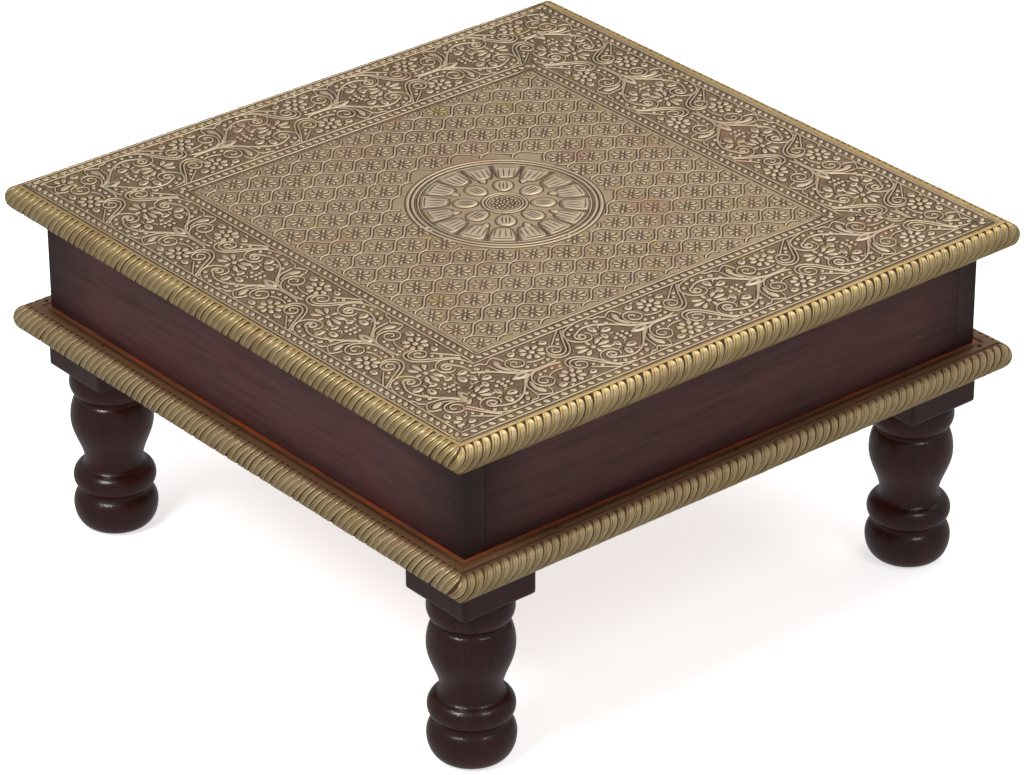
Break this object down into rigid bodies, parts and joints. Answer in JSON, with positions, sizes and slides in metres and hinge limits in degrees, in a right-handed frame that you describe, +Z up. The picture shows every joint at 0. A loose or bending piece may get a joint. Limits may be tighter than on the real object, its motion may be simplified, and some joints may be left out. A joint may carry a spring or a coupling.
{
  "type": "low square brass-topped table",
  "caption": "Low square table with an embossed brass top, gadrooned brass edges and a stained wooden box apron on turned legs.",
  "frame": {"origin": "on the floor under the middle of the table", "axes": "+Z up, -Y the front face, whose apron board runs the full width, +X the right face, which shows that board's end"},
  "size_m": [0.382, 0.382, 0.203],
  "materials": {
    "brass_sheet": "embossed, dark patina in the recesses",
    "brass_strip": "embossed, aged satin",
    "brass_pin": "aged satin",
    "stained_wood": "dark red-brown stain, satin",
    "lacquered_leg": "dark red-brown lacquer, gloss",
    "steel": "bare, dull"
  },
  "bodies": {
    "root": {"top_board": "stained_wood", "top_sheet": "brass_sheet", "top_strip_front": "brass_strip", "top_strip_right": "brass_strip", "top_strip_back": "brass_strip", "top_strip_left": "brass_strip", "top_strip_pins": "brass_pin", "apron_front": "stained_wood", "apron_right": "stained_wood", "apron_back": "stained_wood", "apron_left": "stained_wood", "apron_nails": "steel", "top_nails": "steel", "base_board": "stained_wood", "base_strip_front": "brass_strip", "base_strip_right": "brass_strip", "base_strip_back": "brass_strip", "base_strip_left": "brass_strip", "base_strip_pins": "brass_pin", "box_screws": "steel", "leg_front_right": "lacquered_leg", "leg_back_right": "lacquered_leg", "leg_back_left": "lacquered_leg", "leg_front_left": "lacquered_leg", "leg_screws": "steel"}
  },
  "joints": []
}
